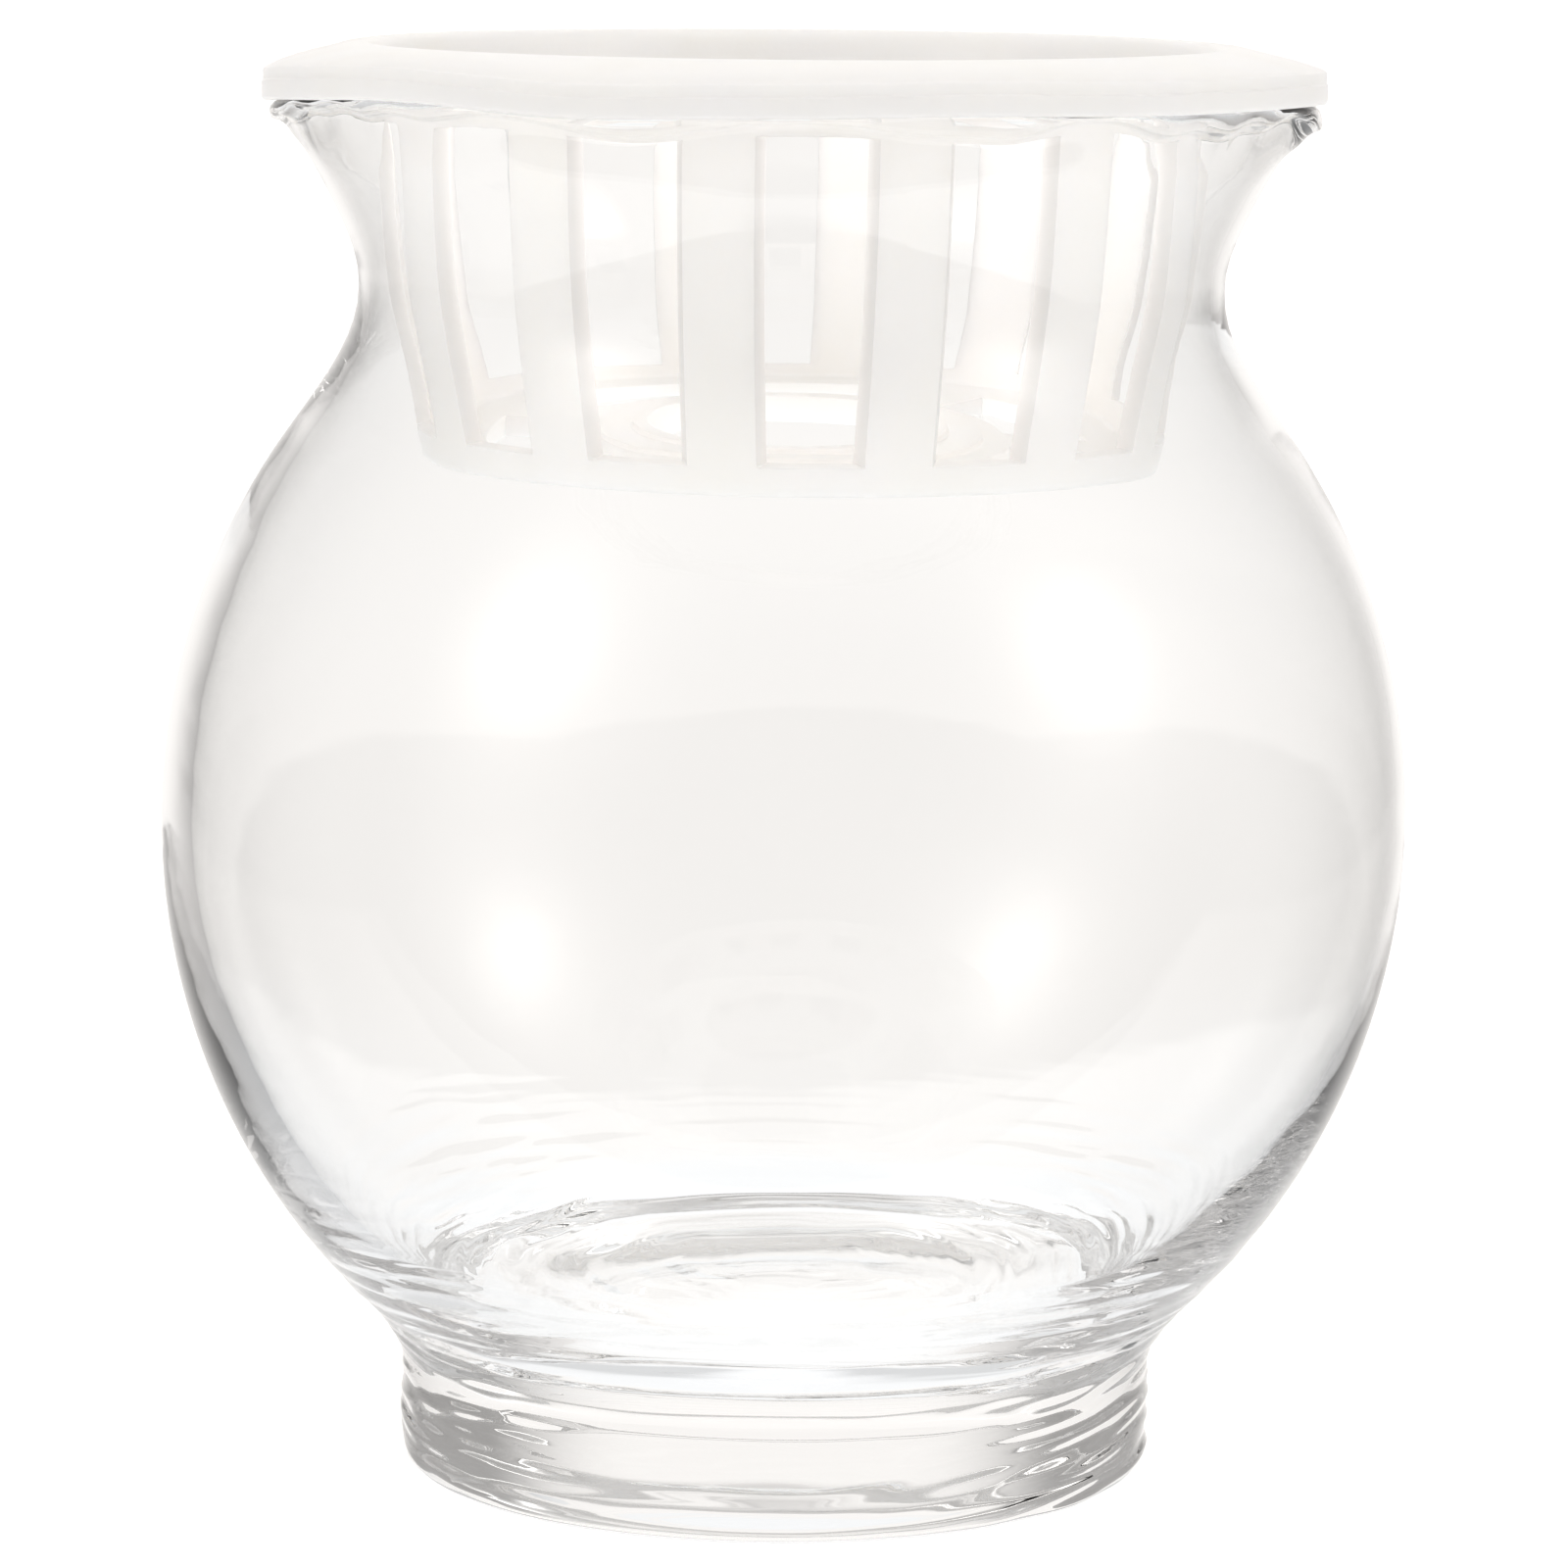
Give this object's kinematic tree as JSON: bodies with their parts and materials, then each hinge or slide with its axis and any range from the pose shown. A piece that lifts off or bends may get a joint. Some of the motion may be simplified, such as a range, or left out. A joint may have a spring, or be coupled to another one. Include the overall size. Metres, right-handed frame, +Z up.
{
  "type": "flower frog",
  "caption": "Flower frog: a slotted translucent stem basket whose domed flange hangs on the flared lip of a clear, footed glass globe vase, and which lifts straight out.",
  "frame": {"origin": "middle of the ring that the vase's foot stands on", "axes": "+Z up along the common axis of the vase and the basket; -Y towards the front view"},
  "size_m": [0.1138, 0.1138, 0.13],
  "materials": {
    "clear_glass": "clear, fire-polished",
    "frosted_plastic": "satin, translucent, undyed"
  },
  "bodies": {
    "vase": {"glass_vase": "clear_glass"},
    "basket": {"planting_basket": "frosted_plastic"}
  },
  "joints": [
    {"name": "basket_lift", "type": "slide", "parent": "vase", "child": "basket", "axis": [0, 0, 1], "range_m": [0, 0.06]}
  ]
}
